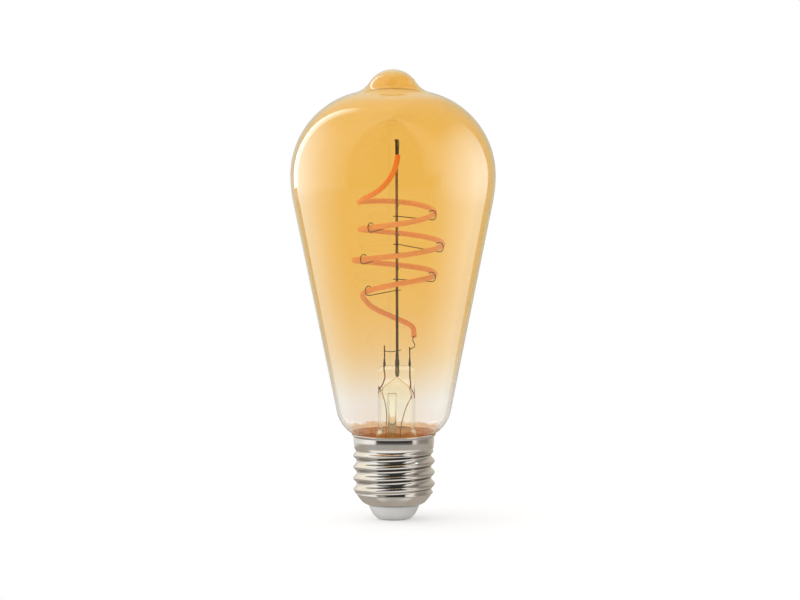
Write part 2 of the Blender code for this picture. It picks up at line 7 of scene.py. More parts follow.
import bpy
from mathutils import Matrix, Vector


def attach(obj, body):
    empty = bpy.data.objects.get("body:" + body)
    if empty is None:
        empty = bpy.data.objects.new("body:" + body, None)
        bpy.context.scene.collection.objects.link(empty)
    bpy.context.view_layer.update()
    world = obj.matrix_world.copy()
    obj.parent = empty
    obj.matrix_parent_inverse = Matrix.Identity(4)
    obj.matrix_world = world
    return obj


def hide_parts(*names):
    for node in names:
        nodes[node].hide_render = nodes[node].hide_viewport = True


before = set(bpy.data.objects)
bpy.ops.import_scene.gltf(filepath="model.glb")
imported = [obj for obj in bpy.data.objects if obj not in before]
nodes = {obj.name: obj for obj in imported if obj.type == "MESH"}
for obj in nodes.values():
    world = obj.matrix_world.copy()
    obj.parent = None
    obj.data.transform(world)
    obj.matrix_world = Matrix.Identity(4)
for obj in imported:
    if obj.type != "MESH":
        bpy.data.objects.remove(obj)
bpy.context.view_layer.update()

# Glass
LAMP_LENGTH = 0.143
GLASS_RADIUS = 0.0325
GLASS_WALL = 0.0007
WIDEST_HEIGHT = 0.1095
TIP_RADIUS = 0.0086
TIP_FILLET = 0.0075
SHOULDER_RADIUS = 0.0269
SIDE_RADIUS = 0.0435
CONE_ANGLE = math.radians(11.5)
CONE_FOOT_HEIGHT = 0.0345
FOOT_RADIUS = 0.0110
NECK_RADIUS = 0.0110
NECK_BOTTOM = 0.0230

# Screw cap
CAP_PITCH = 0.003629
CREST_RADIUS = 0.01303
ROOT_RADIUS = 0.01190
CREST_SHARPNESS = 1.2
CAP_SHEET = 0.0004
THREAD_TOP = 0.0224
THREAD_BOTTOM = 0.0083
CREST_HEIGHT = 0.0204

# Stem, mast and leads
STEM_X = 0.0009
PINCH_TOP = 0.0489
PINCH_BOTTOM = 0.0410
EXHAUST_X = STEM_X - 0.0014
MAST_X = 0.00115
MAST_RADIUS = 0.00043
MAST_TOP = 0.1208
LEAD_RADIUS = 0.0002
LEAD_LEFT_X = -0.0029
LEAD_RIGHT_X = 0.0051

# Filament and hooks
FILAMENT_RADIUS = 0.0008
HOOK_WIRE = 0.00014
HOOK_HALF_WIDTH = 0.00130
HOOK_HALF_HEIGHT = 0.00150
CHIP_SPACING = 0.0008

# Light that a finish gives off by itself. A real lamp that is switched off gives off none, so these only
# lift how bright the stem, filament and cement look; the floor's share belongs to the studio.
STEM_GLOW = 0.018
FILAMENT_GLOW = 0.24
CEMENT_GLOW = 0.34
FLOOR_GLOW = 0.28

SOFTBOX_REACH = 0.45

# The filament's centreline round the mast: turn angle in degrees from +X, radius, height
FILAMENT_STATIONS = [
    (285, 0.0016, 0.1159),
    (262, 0.0024, 0.1124),
    (243, 0.0048, 0.1087),
    (230, 0.0086, 0.1052),
    (206, 0.0113, 0.1024),
    (180, 0.0119, 0.1009),
    (90, 0.0122, 0.1002),
    (0, 0.0119, 0.0977),
    (-90, 0.0120, 0.0948),
    (-180, 0.0116, 0.0924),
    (-270, 0.0128, 0.0902),
    (-360, 0.0145, 0.0877),
    (-450, 0.0139, 0.0850),
    (-540, 0.0135, 0.0825),
    (-630, 0.0128, 0.0800),
    (-720, 0.0121, 0.0781),
    (-810, 0.0119, 0.0759),
    (-900, 0.0109, 0.0711),
    (-945, 0.0102, 0.0666),
    (-990, 0.0090, 0.0631),
    (-1035, 0.0071, 0.0605),
    (-1050, 0.0062, 0.0579),
]

# Hooks: name, turn angle where it holds the filament, height of its weld on the mast
HOOKS = [
    ("back_1", 90, 0.0999),
    ("right_1", -20, 0.0965),
    ("left_1", -134, 0.0938),
    ("back_2", -270, 0.0905),
    ("right_2", -382, 0.0876),
    ("left_2", -500, 0.0848),
    ("back_3", -630, 0.0798),
    ("right_3", -744, 0.0765),
    ("left_3", -862, 0.0730),
]


# ------------------------------------------------------------ making pieces


def clear_selection():
    if bpy.context.object and bpy.context.object.mode != "OBJECT":
        bpy.ops.object.mode_set(mode="OBJECT")
    bpy.ops.object.select_all(action="DESELECT")


def finish_piece(made, name, material, node, smooth_angle=40):
    """Names the active piece, gives it its finish and puts it in the frame."""
    made.name = name
    made.data.name = name
    made.data.materials.clear()
    made.data.materials.append(material)
    bpy.ops.object.shade_smooth_by_angle(angle=math.radians(smooth_angle))
    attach(made, "root")
    if node:
        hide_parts(node)
    return made


def arc(centre, radius, start, end, steps):
    """Points of an arc in the (radius, height) plane, angles in degrees from +radius."""
    points = []
    for i in range(steps + 1):
        angle = math.radians(start + (end - start) * i / steps)
        points.append((centre[0] + radius * math.cos(angle), centre[1] + radius * math.sin(angle)))
    return points


def turn_outline(outline, steps, axis_x=0.0, closed=False):
    """Draws a (radius, height) outline point by point, then spins it round an upright axis."""
    clear_selection()
    bpy.ops.mesh.primitive_plane_add(size=0.001, enter_editmode=True)
    bpy.ops.mesh.merge(type="CENTER")
    bpy.ops.transform.translate(value=(axis_x + outline[0][0], 0, outline[0][1]))
    path = outline + outline[:1] if closed else outline
    for before, after in zip(path, path[1:]):
        step = (after[0] - before[0], 0, after[1] - before[1])
        bpy.ops.mesh.extrude_region_move(TRANSFORM_OT_translate={"value": step})
    bpy.ops.mesh.select_all(action="SELECT")
    bpy.ops.mesh.remove_doubles(threshold=1e-6)
    bpy.ops.mesh.spin(steps=steps, angle=math.tau, center=(axis_x, 0, 0), axis=(0, 0, 1))
    bpy.ops.mesh.select_all(action="SELECT")
    bpy.ops.mesh.remove_doubles(threshold=2e-6)
    bpy.ops.mesh.normals_make_consistent(inside=False)
    bpy.ops.object.mode_set(mode="OBJECT")
    return bpy.context.object


def spline_value(a, b, c, d, t):
    """Catmull-Rom value between b and c."""
    return 0.5 * (2 * b + (c - a) * t + (2 * a - 5 * b + 4 * c - d) * t**2 + (3 * b - a - 3 * c + d) * t**3)


def smooth_path(points, per_span):
    """Points on a smooth curve through the given ones."""
    path = []
    for i in range(len(points) - 1):
        before = points[max(i - 1, 0)]
        after = points[min(i + 2, len(points) - 1)]
        for step in range(per_span):
            t = step / per_span
            path.append(tuple(spline_value(before[k], points[i][k], points[i + 1][k], after[k], t)
                              for k in range(len(points[i]))))
    path.append(tuple(points[-1]))
    return path


def bend_wire(points, radius, roundness=2, resolution=3):
    """A round wire through points, with closed ends, as a mesh."""
    clear_selection()
    bpy.ops.curve.primitive_bezier_curve_add()
    made = bpy.context.object
    spline = made.data.splines[0]
    spline.bezier_points.add(len(points) - 2)
    for bead, place in zip(spline.bezier_points, points):
        bead.co = place
        bead.handle_left_type = "AUTO"
        bead.handle_right_type = "AUTO"
    made.data.resolution_u = resolution
    made.data.bevel_depth = radius
    made.data.bevel_resolution = roundness
    made.data.use_fill_caps = True
    bpy.ops.object.convert(target="MESH")
    return bpy.context.object


def add_blob(place, radius, flatten=(1, 1, 1)):
    """A small rounded nugget of weld metal."""
    clear_selection()
    bpy.ops.mesh.primitive_uv_sphere_add(segments=12, ring_count=8, radius=radius, location=place)
    bpy.ops.object.transform_apply(location=True, rotation=False, scale=False)
    bpy.ops.object.mode_set(mode="EDIT")
    bpy.ops.mesh.select_all(action="SELECT")
    bpy.ops.transform.resize(value=flatten, center_override=place)
    bpy.ops.object.mode_set(mode="OBJECT")
    return bpy.context.object


def join_onto(made, extras):
    """Joins the extra meshes onto a piece, whose place and turn stay at the origin."""
    clear_selection()
    for extra in extras:
        extra.select_set(True)
    made.select_set(True)
    bpy.context.view_layer.objects.active = made
    bpy.ops.object.join()
    return made


# ------------------------------------------------------------ finishes


class Finish:
    """A procedural material: a Principled shader and the nodes that feed it."""

    def __init__(self, name, **sockets):
        self.material = bpy.data.materials.new(name)
        self.material.use_nodes = True
        self.tree = self.material.node_tree
        self.shader = self.tree.nodes["Principled BSDF"]
        for socket, value in sockets.items():
            self.shader.inputs[socket.replace("_", " ")].default_value = value
        self.place = self.node("ShaderNodeTexCoord").outputs["Object"]

    def node(self, kind, **settings):
        made = self.tree.nodes.new(kind)
        for setting, value in settings.items():
            setattr(made, setting, value)
        return made

    def link(self, source, target):
        self.tree.links.new(source, target)

    def stretch(self, scale):
        """Object coordinates stretched along the axes."""
        mapping = self.node("ShaderNodeMapping")
        mapping.inputs["Scale"].default_value = scale
        self.link(self.place, mapping.inputs["Vector"])
        return mapping.outputs["Vector"]

    def noise(self, scale, detail=3.0, stretch=(1, 1, 1)):
        made = self.node("ShaderNodeTexNoise")
        made.inputs["Scale"].default_value = scale
        made.inputs["Detail"].default_value = detail
        self.link(self.stretch(stretch), made.inputs["Vector"])
        return made.outputs["Fac"]

    def ramp(self, source, stops):
        """A colour ramp; each stop is (place, colour)."""
        made = self.node("ShaderNodeValToRGB")
        elements = made.color_ramp.elements
        while len(elements) < len(stops):
            elements.new(1.0)
        for element, (place, colour) in zip(elements, stops):
            element.position = place
            element.color = (*colour, 1.0)
        self.link(source, made.inputs["Fac"])
        return made.outputs["Color"]

    def spread(self, source, low, high, new_low=0.0, new_high=1.0):
        made = self.node("ShaderNodeMapRange")
        for socket, value in zip(("From Min", "From Max", "To Min", "To Max"), (low, high, new_low, new_high)):
            made.inputs[socket].default_value = value
        self.link(source, made.inputs["Value"])
        return made.outputs["Result"]

    def axis(self, name):
        made = self.node("ShaderNodeSeparateXYZ")
        self.link(self.place, made.inputs["Vector"])
        return made.outputs[name]

    def math(self, operation, first, second=None):
        made = self.node("ShaderNodeMath", operation=operation)
        for socket, value in zip(made.inputs, (first, second)):
            if value is None:
                continue
            if isinstance(value, (int, float)):
                socket.default_value = value
            else:
                self.link(value, socket)
        return made.outputs["Value"]

    def mix(self, share, first, second):
        made = self.node("ShaderNodeMix", data_type="RGBA")
        if isinstance(share, (int, float)):
            made.inputs[0].default_value = share
        else:
            self.link(share, made.inputs[0])
        for socket, value in ((made.inputs[6], first), (made.inputs[7], second)):
            if isinstance(value, tuple):
                socket.default_value = (*value, 1.0)
            else:
                self.link(value, socket)
        return made.outputs[2]

    def colour(self, source):
        self.link(source, self.shader.inputs["Base Color"])

    def roughness(self, source, low, high):
        self.link(self.spread(source, 0.3, 0.7, low, high), self.shader.inputs["Roughness"])

    def bump(self, height, strength, distance):
        made = self.node("ShaderNodeBump")
        made.inputs["Strength"].default_value = strength
        made.inputs["Distance"].default_value = distance
        self.link(height, made.inputs["Height"])
        self.link(made.outputs["Normal"], self.shader.inputs["Normal"])


def amber_glass():
    """Clear blown glass with an amber coat that fades out above the cap, and a paler band of painted light at the
    foot of its top nipple.
    """
    made = Finish("amber_glass", Roughness=0.0, IOR=1.5, Transmission_Weight=1.0)
    ripple = made.spread(made.noise(330.0, 2.0, (1, 1, 0.3)), 0.3, 0.7, -0.0005, 0.0005)
    height = made.spread(made.math("ADD", made.axis("Z"), ripple), 0.020, 0.145)
    stops = []
    for level, colour in AMBER_TINT_AND_PAINTED_BAND:
        stops.append(((level - 0.020) / 0.125, colour))
    made.colour(made.ramp(height, stops))
    made.bump(made.noise(45.0, 2.0), 0.03, 0.0004)
    return made.material


# Colour that one wall of the glass lets through, by height. Around 0.1350 m, at the foot of the top nipple, the
# colour is paler: painted light that lifts a dark reflection band there.
AMBER_TINT_AND_PAINTED_BAND = [
    (0.0230, (0.95, 0.90, 0.80)),
    (0.0262, (0.95, 0.90, 0.80)),
    (0.0268, (0.84, 0.58, 0.32)),
    (0.0278, (0.72, 0.45, 0.25)),
    (0.0288, (0.71, 0.45, 0.26)),
    (0.0292, (0.93, 0.87, 0.81)),
    (0.0380, (0.935, 0.885, 0.82)),
    (0.0443, (0.930, 0.83, 0.68)),
    (0.0540, (0.935, 0.75, 0.47)),
    (0.0700, (0.932, 0.704, 0.340)),
    (0.0850, (0.938, 0.700, 0.300)),
    (0.1300, (0.940, 0.698, 0.295)),
    # painted light: a paler band that lifts a dark reflection at the foot of the top nipple
    (0.1336, (0.940, 0.700, 0.310)),
    (0.1350, (0.945, 0.760, 0.450)),
    (0.1364, (0.945, 0.740, 0.400)),
    (0.1372, (0.935, 0.660, 0.260)),
    (0.1405, (0.935, 0.670, 0.270)),
    (0.1425, (0.930, 0.740, 0.420)),
]


def clear_glass():
    """Stem glass with a faint yellow-green cast."""
    made = Finish("clear_glass", Roughness=0.0, IOR=1.42, Transmission_Weight=1.0,
                  Specular_Tint=(0.35, 0.35, 0.35, 1.0))
    cloud = made.noise(180.0, 2.0)
    made.colour(made.ramp(cloud, [(0.3, (0.985, 0.99, 0.93)), (0.7, (0.995, 0.995, 0.97))]))
    made.bump(made.noise(260.0, 2.0, (1, 1, 0.25)), 0.08, 0.0003)
    made.shader.inputs["Emission Color"].default_value = (0.85, 1.0, 0.60, 1.0)
    made.shader.inputs["Emission Strength"].default_value = STEM_GLOW
    return made.material


def nickel_plate():
    """Bright nickel plate with faint rolling lines round the cap."""
    made = Finish("nickel_plate", Metallic=1.0)
    cloud = made.noise(220.0, 4.0)
    made.colour(made.ramp(cloud, [(0.3, (0.82, 0.79, 0.75)), (0.7, (0.90, 0.875, 0.835))]))
    lines = made.noise(900.0, 3.0, (0.25, 0.25, 4.0))
    made.roughness(lines, 0.03, 0.07)
    made.bump(lines, 0.008, 0.00004)
    return made.material


def contact_metal():
    made = Finish("contact_metal", Metallic=1.0)
    cloud = made.noise(500.0, 4.0)
    made.colour(made.ramp(cloud, [(0.3, (0.55, 0.53, 0.50)), (0.7, (0.68, 0.66, 0.63))]))
    made.roughness(cloud, 0.18, 0.32)
    made.bump(made.noise(1400.0, 2.0), 0.05, 0.00003)
    return made.material


def drawn_wire(name, dark, light, rough):
    """Drawn wire, dulled a little along its length."""
    made = Finish(name, Metallic=1.0)
    streaks = made.noise(1500.0, 3.0, (1, 1, 0.15))
    made.colour(made.ramp(streaks, [(0.3, dark), (0.7, light)]))
    made.roughness(streaks, rough, rough + 0.15)
    made.bump(streaks, 0.10, 0.00002)
    return made.material


def mast_wire():
    """The mast: blackened at its top, dull grey-brown in the middle, dark again near the stem."""
    made = Finish("mast_wire", Metallic=0.25)
    height = made.spread(made.axis("Z"), 0.045, 0.121)
    stops = [
        (0.00, (0.30, 0.25, 0.12)),
        (0.045, (0.30, 0.25, 0.12)),
        (0.05, (0.055, 0.045, 0.038)),
        (0.28, (0.090, 0.075, 0.065)),
        (0.42, (0.270, 0.190, 0.190)),
        (0.85, (0.330, 0.230, 0.230)),
        (0.93, (0.040, 0.028, 0.022)),
        (1.00, (0.030, 0.022, 0.018)),
    ]
    stain = made.noise(700.0, 4.0, (1, 1, 0.4))
    made.colour(made.mix(made.spread(stain, 0.45, 0.75, 0.0, 0.55), made.ramp(height, stops), (0.03, 0.022, 0.018)))
    made.roughness(stain, 0.35, 0.60)
    made.bump(stain, 0.20, 0.00005)
    return made.material


def matt_finish(name, dark, light, scale, rough, grain=0.15):
    """A matt moulded, baked or ceramic surface."""
    made = Finish(name)
    cloud = made.noise(scale, 4.0)
    made.colour(made.ramp(cloud, [(0.3, dark), (0.7, light)]))
    made.roughness(cloud, rough, rough + 0.12)
    made.bump(made.noise(scale * 6, 2.0), grain, 0.00004)
    return made.material


def phosphor_coat():
    """The orange silicone coat, with the chips showing as a row of dots on its inner side."""
    made = Finish("phosphor_coat", Roughness=0.42)
    along = made.node("ShaderNodeAttribute", attribute_name="along").outputs["Fac"]
    inward = made.node("ShaderNodeAttribute", attribute_name="inward").outputs["Fac"]
    height = made.spread(made.axis("Z"), 0.055, 0.118)
    body = made.ramp(height, [
        (0.00, (0.93, 0.38, 0.24)),
        (0.20, (0.96, 0.49, 0.38)),
        (0.70, (0.97, 0.55, 0.46)),
        (0.80, (0.97, 0.40, 0.18)),
        (1.00, (0.97, 0.25, 0.02)),
    ])
    cloud = made.noise(400.0, 3.0)
    body = made.mix(made.spread(cloud, 0.35, 0.75, 0.0, 0.22), body, (0.88, 0.27, 0.10))
    beat = made.math("SINE", made.math("MULTIPLY", along, math.tau / CHIP_SPACING))
    dot = made.spread(beat, 0.0, 0.8)
    facing = made.spread(inward, 0.45, 0.85)
    chip = made.math("MULTIPLY", dot, facing)
    pale = made.mix(made.math("MULTIPLY", facing, 0.45), body, (0.86, 0.50, 0.42))
    made.colour(made.mix(made.math("MULTIPLY", chip, 0.55), pale, (0.45, 0.16, 0.10)))
    made.bump(made.math("ADD", made.math("MULTIPLY", chip, 0.5), cloud), 0.25, 0.00005)
    made.link(body, made.shader.inputs["Emission Color"])
    made.shader.inputs["Emission Strength"].default_value = FILAMENT_GLOW
    made.shader.inputs["Subsurface Weight"].default_value = 0.15
    made.shader.inputs["Subsurface Radius"].default_value = (0.0008, 0.0004, 0.0002)
    made.shader.inputs["Subsurface Scale"].default_value = 0.5
    return made.material


def board_laminate():
    """Green solder mask with paler copper tracks under it."""
    made = Finish("board_laminate", Roughness=0.35)
    tracks = made.node("ShaderNodeTexBrick")
    for socket, value in (("Scale", 420.0), ("Mortar Size", 0.03), ("Brick Width", 0.9), ("Row Height", 0.5)):
        tracks.inputs[socket].default_value = value
    tracks.inputs["Color1"].default_value = (0.045, 0.16, 0.06, 1)
    tracks.inputs["Color2"].default_value = (0.06, 0.20, 0.08, 1)
    tracks.inputs["Mortar"].default_value = (0.20, 0.36, 0.12, 1)
    turned = made.node("ShaderNodeMapping")
    turned.inputs["Rotation"].default_value = (math.radians(90), 0, 0)
    made.link(made.place, turned.inputs["Vector"])
    made.link(turned.outputs["Vector"], tracks.inputs["Vector"])
    made.colour(tracks.outputs["Color"])
    made.bump(tracks.outputs["Fac"], 0.2, 0.00003)
    return made.material


def sleeve_film():
    made = Finish("liner_film", Roughness=0.35)
    cloud = made.noise(300.0, 3.0, (1, 1, 0.3))
    made.colour(made.ramp(cloud, [(0.3, (0.62, 0.52, 0.34)), (0.7, (0.74, 0.66, 0.48))]))
    made.bump(cloud, 0.15, 0.00008)
    return made.material


amber = amber_glass()
clear = clear_glass()
nickel = nickel_plate()
contact_finish = contact_metal()
hook_metal = drawn_wire("hook_wire", (0.055, 0.040, 0.034), (0.14, 0.105, 0.088), 0.30)
lead_metal = drawn_wire("lead_wire", (0.07, 0.058, 0.050), (0.16, 0.13, 0.11), 0.30)
seal_metal = drawn_wire("seal_wire", (0.42, 0.07, 0.045), (0.62, 0.16, 0.10), 0.35)
copper = drawn_wire("copper_wire", (0.42, 0.24, 0.13), (0.66, 0.42, 0.27), 0.28)
mast_metal = mast_wire()
bead_dark = matt_finish("seal_bead", (0.030, 0.026, 0.022), (0.075, 0.065, 0.055), 1500.0, 0.40)
phosphor = phosphor_coat()
# The cement gets a brighter colour than its own and a glow: painted light that lifts the shade on it in the gap
# between neck and shell.
cement = matt_finish("capping_cement", (0.80, 0.38, 0.09), (0.92, 0.52, 0.17), 900.0, 0.80, 0.6)
cement_shader = cement.node_tree.nodes["Principled BSDF"]
cement_shader.inputs["Emission Color"].default_value = (1.0, 0.40, 0.05, 1.0)
cement_shader.inputs["Emission Strength"].default_value = CEMENT_GLOW
white_plastic = matt_finish("white_plastic", (0.72, 0.715, 0.70), (0.78, 0.775, 0.76), 240.0, 0.32, 0.05)
film = sleeve_film()
laminate = board_laminate()
moulded_black = matt_finish("moulded_black", (0.012, 0.012, 0.013), (0.035, 0.034, 0.033), 1400.0, 0.42, 0.35)
can_metal = drawn_wire("bare_can", (0.62, 0.63, 0.64), (0.76, 0.77, 0.78), 0.22)
tan_ceramic = matt_finish("component_ceramic", (0.48, 0.33, 0.19), (0.62, 0.46, 0.30), 1100.0, 0.45, 0.3)
blue_sleeve = matt_finish("neutral_sleeve", (0.06, 0.15, 0.45), (0.10, 0.22, 0.56), 900.0, 0.38, 0.1)


# ------------------------------------------------------------ glass


def between_circles(first, first_radius, second, second_radius, fillet):
    """Centre of a circle that touches two circles from outside, on the +radius side."""
    a = Vector(first)
    b = Vector(second)
    reach_a = first_radius + fillet
    reach_b = second_radius + fillet
    apart = (b - a).length
    along = (reach_a**2 - reach_b**2 + apart**2) / (2 * apart)
    aside = math.sqrt(reach_a**2 - along**2)
    way = (b - a) / apart
    return a + way * along + Vector((-way.y, way.x)) * aside


def angle_to(centre, point):
    return math.degrees(math.atan2(point[1] - centre[1], point[0] - centre[0]))


def glass_outline():
    """Outer outline of the glass, from the tip down to the sealed neck."""
    tip = (0.0, LAMP_LENGTH - TIP_RADIUS)
    shoulder = (GLASS_RADIUS - SHOULDER_RADIUS, WIDEST_HEIGHT)
    valley = between_circles(tip, TIP_RADIUS, shoulder, SHOULDER_RADIUS, TIP_FILLET)
    side = (GLASS_RADIUS - SIDE_RADIUS, WIDEST_HEIGHT)
    slope = math.degrees(CONE_ANGLE)
    cone_top = arc(side, SIDE_RADIUS, -slope, -slope, 1)[0]
    foot_edge = cone_top[0] - (cone_top[1] - CONE_FOOT_HEIGHT) * math.tan(CONE_ANGLE)
    foot = (
        foot_edge - FOOT_RADIUS * math.cos(CONE_ANGLE),
        CONE_FOOT_HEIGHT + FOOT_RADIUS * math.sin(CONE_ANGLE),
    )
    tip_end = angle_to(tip, valley)
    shoulder_start = angle_to(shoulder, valley)
    outline = arc(tip, TIP_RADIUS, 90, tip_end, 18)
    outline += arc(valley, TIP_FILLET, 180 + tip_end, 180 + shoulder_start, 8)[1:]
    outline += arc(shoulder, SHOULDER_RADIUS, shoulder_start, 0, 30)[1:]
    outline += arc(side, SIDE_RADIUS, 0, -slope, 8)[1:]
    foot_arc = arc(foot, FOOT_RADIUS, -slope, -62, 16)
    cone_start = outline[-1]
    for i in range(1, 12):
        share = i / 12
        outline.append(tuple(a + (b - a) * share for a, b in zip(cone_start, foot_arc[0])))
    outline += foot_arc
    outline += [(NECK_RADIUS + 0.0003, 0.0262), (NECK_RADIUS, 0.0254), (NECK_RADIUS, NECK_BOTTOM)]
    return outline


def make_envelope():
    """The blown glass, turned as one closed outline of its outside and inside."""
    outside = glass_outline()
    inside = [(0.0, LAMP_LENGTH - GLASS_WALL)]
    for before, point, after in zip(outside, outside[1:], outside[2:]):
        way = (Vector(after) - Vector(before)).normalized() * GLASS_WALL
        inside.append((point[0] + way.y, point[1] - way.x))
    inside.append((NECK_RADIUS - GLASS_WALL, 0.0248))
    inside.append((NECK_RADIUS - 1.6 * GLASS_WALL, 0.0238))
    inside.append((NECK_RADIUS - 2 * GLASS_WALL, NECK_BOTTOM + 0.0003))
    inside.append((NECK_RADIUS - 1.8 * GLASS_WALL, NECK_BOTTOM))
    made = turn_outline(outside + inside[::-1], 144)
    return finish_piece(made, "glass_bulb", amber, "glass_envelope", 60)


def stem_ring(height, half_width, half_depth, squareness, count):
    """One ring of the stem: a circle at squareness 2, nearer a rectangle above that."""
    ring = []
    for i in range(count):
        angle = math.tau * (i + 0.5) / count
        c = math.cos(angle)
        s = math.sin(angle)
        x = half_width * math.copysign(abs(c) ** (2 / squareness), c)
        y = half_depth * math.copysign(abs(s) ** (2 / squareness), s)
        ring.append((STEM_X + x, y, height))
    return ring


STEM_OUTSIDE = [
    (0.0234, 0.0089, 0.0089, 2),
    (0.0243, 0.0080, 0.0080, 2),
    (0.0262, 0.0068, 0.0068, 2),
    (0.0278, 0.0062, 0.0062, 2),
    (0.0295, 0.00595, 0.00595, 2),
    (0.0340, 0.00595, 0.00595, 2),
    (0.0372, 0.00595, 0.00585, 2),
    (0.0388, 0.00592, 0.0053, 2.05),
    (0.0405, 0.0059, 0.0042, 2.2),
    (0.0418, 0.00585, 0.0031, 2.5),
    (0.0430, 0.00585, 0.0025, 3),
    (0.0450, 0.00585, 0.0020, 4),
    (0.0470, 0.00590, 0.0020, 4),
    (0.0479, 0.00565, 0.0019, 3.6),
    (0.0485, 0.00515, 0.0016, 3.2),
    (0.0489, 0.00440, 0.0011, 3),
]
STEM_INSIDE = [
    (0.0234, 0.0081, 0.0081, 2),
    (0.0247, 0.0069, 0.0069, 2),
    (0.0266, 0.0057, 0.0057, 2),
    (0.0280, 0.0051, 0.0051, 2),
    (0.0295, 0.00495, 0.00495, 2),
    (0.0340, 0.00495, 0.00495, 2),
    (0.0375, 0.00495, 0.0048, 2),
    (0.0390, 0.0048, 0.0038, 2.1),
    (0.0402, 0.0046, 0.0027, 2.2),
    (0.0414, 0.0042, 0.0016, 2.2),
    (0.0424, 0.0037, 0.0010, 2.2),
    (0.0432, 0.0028, 0.0008, 2.2),
    (0.0444, 0.0014, 0.0006, 2.2),
    (0.0454, 0.0004, 0.0004, 2),
]


def make_stem():
    """The stem tube, flared at its foot and pressed flat at its top; its rings aren't all round."""
    count = 48
    outside = smooth_path(STEM_OUTSIDE, 3)
    inside = smooth_path(STEM_INSIDE, 3)
    corners = []
    for ring in outside + inside[::-1]:
        corners += stem_ring(*ring, count)
    rows = len(outside) + len(inside)
    faces = []
    for row in range(rows - 1):
        if row == len(outside) - 1:
            continue
        for i in range(count):
            j = (i + 1) % count
            faces.append((row * count + i, row * count + j, (row + 1) * count + j, (row + 1) * count + i))
    first_inner = len(outside) * count
    last = (rows - 1) * count
    faces.append(tuple(range((len(outside) - 1) * count, first_inner)))
    faces.append(tuple(range(first_inner, first_inner + count)))
    for i in range(count):
        j = (i + 1) % count
        faces.append((i, j, last + j, last + i))
    mesh = bpy.data.meshes.new("stem")
    mesh.from_pydata(corners, [], faces)
    made = bpy.data.objects.new("stem", mesh)
    bpy.context.scene.collection.objects.link(made)
    clear_selection()
    made.select_set(True)
    bpy.context.view_layer.objects.active = made
    bpy.ops.object.mode_set(mode="EDIT")
    bpy.ops.mesh.select_all(action="SELECT")
    bpy.ops.mesh.normals_make_consistent(inside=False)
    bpy.ops.object.mode_set(mode="OBJECT")
    finish_piece(made, "stem", clear, "stem_glass", 50)


def make_exhaust_tube():
    radius = 0.00145
    wall = 0.0005
    bottom = 0.0237
    top = PINCH_BOTTOM - 0.0012
    outline = arc((radius - wall / 2, top), wall / 2, 180, 0, 6)
    outline += arc((0.0, bottom + radius), radius, 0, -90, 10)
    outline += [(0.0, bottom + 2 * wall)]
    outline += arc((0.0, bottom + radius + wall), radius - wall, -60, 0, 6)
    made = turn_outline(outline, 40, EXHAUST_X, closed=True)
    finish_piece(made, "pumping_tube", clear, "exhaust_tube", 50)


# ------------------------------------------------------------ stem metalwork


def make_mast():
    """The central wire with its flattened head."""
    outline = [
        (0.0, MAST_TOP),
        (0.00055, MAST_TOP),
        (0.00068, MAST_TOP - 0.0001),
        (0.00064, MAST_TOP - 0.0003),
        (0.00045, MAST_TOP - 0.0006),
        (MAST_RADIUS, MAST_TOP - 0.0010),
        (MAST_RADIUS, 0.0487),
        (0.00062, 0.0482),
        (0.00070, 0.0470),
        (0.00055, 0.0458),
        (0.0002, 0.0454),
        (0.0, 0.0454),
    ]
    made = turn_outline(outline, 20, MAST_X)
    finish_piece(made, "mast", mast_metal, "support_mast")


def make_bead(name, node, x, wide, tall, wire):
    """A small dark bead round a wire where it enters the pressed glass."""
    bottom = PINCH_TOP - 0.0001
    outline = [
        (0.0, bottom),
        (wide * 0.9, bottom),
        (wide, bottom + tall * 0.12),
        (wide * 0.96, bottom + tall * 0.45),
        (wide * 0.72, bottom + tall * 0.62),
        (wire + 0.00008, bottom + tall * 0.9),
        (wire + 0.00002, bottom + tall),
        (0.0, bottom + tall),
    ]
    made = turn_outline(outline, 20, x)
    finish_piece(made, name, bead_dark, node)


def make_leads():
    seals = {
        "left": [(LEAD_LEFT_X, 0, 0.0472), (-0.0027, 0, 0.0455), (-0.0031, 0, 0.0438), (-0.0035, 0, 0.0426),
                 (-0.0041, 0, 0.0418)],
        "right": [(LEAD_RIGHT_X, 0, 0.0448), (0.0052, 0, 0.0430), (0.0050, 0, 0.0417), (0.0055, 0, 0.0402),
                  (0.0056, 0, 0.0390)],
    }
    tails = {
        "left": [
            (-0.0039, 0.0, 0.0417), (-0.0032, 0.0, 0.0392), (-0.0026, 0.0, 0.0365), (-0.0023, 0.0, 0.0340),
            (-0.0024, 0.0, 0.0300), (-0.0026, -0.0008, 0.0265), (-0.0028, -0.0012, 0.0222),
            (-0.0028, -0.0012, 0.0205),
        ],
        "right": [
            (0.0055, 0.0, 0.0389), (0.0048, 0.0, 0.0375), (0.0036, 0.0, 0.0347), (0.0024, 0.0, 0.0298),
            (0.0021, 0.0008, 0.0265), (0.0021, 0.0012, 0.0222), (0.0021, 0.0012, 0.0205),
        ],
    }
    for side, x, top in (("left", LEAD_LEFT_X, 0.0554), ("right", LEAD_RIGHT_X, 0.0549)):
        joint = seals[side][0]
        shaft = [(x, 0, top), (x + 0.00005, 0, 0.0520), (x, 0, 0.0490), (x - 0.00005, 0, 0.0481), joint]
        made = bend_wire(shaft, LEAD_RADIUS)
        finish_piece(made, f"inner_lead_{side}", lead_metal, f"lead_inner_{side}")
        made = bend_wire(seals[side], LEAD_RADIUS)
        made = join_onto(made, [add_blob(seals[side][-1], 0.0004, (1, 1, 1.4))])
        finish_piece(made, f"seal_wire_{side}", seal_metal, f"lead_seal_{side}")
        made = bend_wire(tails[side], LEAD_RADIUS * 0.85)
        finish_piece(made, f"outer_lead_{side}", copper, f"lead_outer_{side}")
        make_bead(f"bead_{side}", f"lead_bead_{side}", x, 0.00040, 0.0024, LEAD_RADIUS)
    make_bead("mast_bead", "mast_root_bead", MAST_X, 0.00070, 0.0040, MAST_RADIUS)


